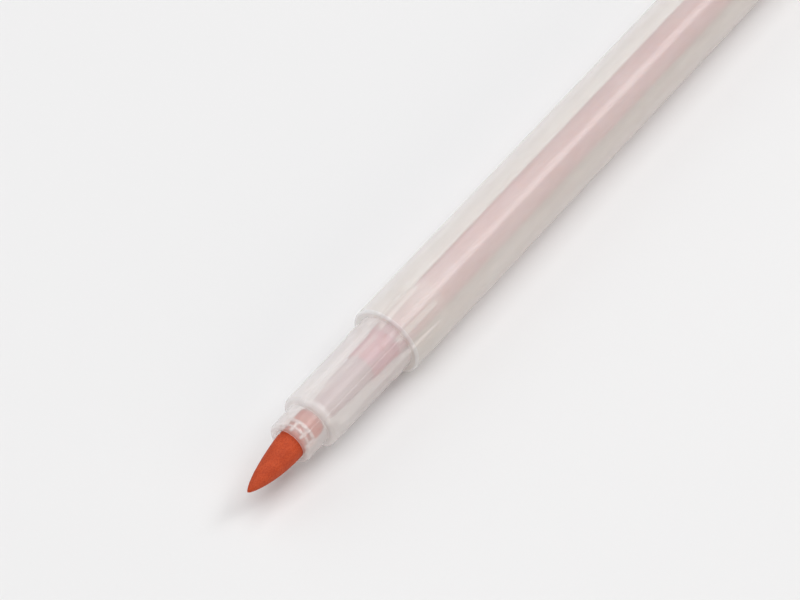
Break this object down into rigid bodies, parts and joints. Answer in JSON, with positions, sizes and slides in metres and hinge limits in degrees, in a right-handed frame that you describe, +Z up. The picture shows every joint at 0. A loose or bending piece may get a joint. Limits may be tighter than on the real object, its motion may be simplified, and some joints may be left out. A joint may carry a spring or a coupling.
{
  "type": "brush pen",
  "caption": "Translucent brush pen with an exposed felt brush nib, ink reservoir in a frosted barrel, and a clip cap posted on its tail.",
  "frame": {"origin": "on the table, under the middle of the pen's bounding box", "axes": "+Y along the pen from nib to cap end, +Z up from the table, +X to the side where the clip rests"},
  "size_m": [0.0118, 0.165, 0.01],
  "materials": {
    "frosted_plastic": "frosted translucent polypropylene",
    "neck_plastic": "semi-clear polypropylene",
    "collar_plastic": "moulded, satin",
    "inked_nib": "dense ink-soaked felt",
    "reservoir_fibre": "bonded fibre soaked in ink",
    "reservoir_wrap": "thin clear film",
    "tail_plastic": "frosted polypropylene",
    "seal_plastic": "soft natural polyethylene",
    "ink_plastic": "moulded in the ink's colour"
  },
  "bodies": {
    "pen": {"barrel_tube": "frosted_plastic", "front_section": "neck_plastic", "nib_collar": "collar_plastic", "brush_nib": "inked_nib", "ink_reservoir": "reservoir_fibre", "reservoir_film": "reservoir_wrap", "tail_plug": "tail_plastic"},
    "cap": {"cap_shell": "frosted_plastic", "cap_inner_seal": "seal_plastic", "cap_end_plug": "ink_plastic"}
  },
  "joints": [
    {"name": "cap_slide", "type": "slide", "parent": "pen", "child": "cap", "axis": [0, 1, 0], "range_m": [0, 0.02]}
  ]
}
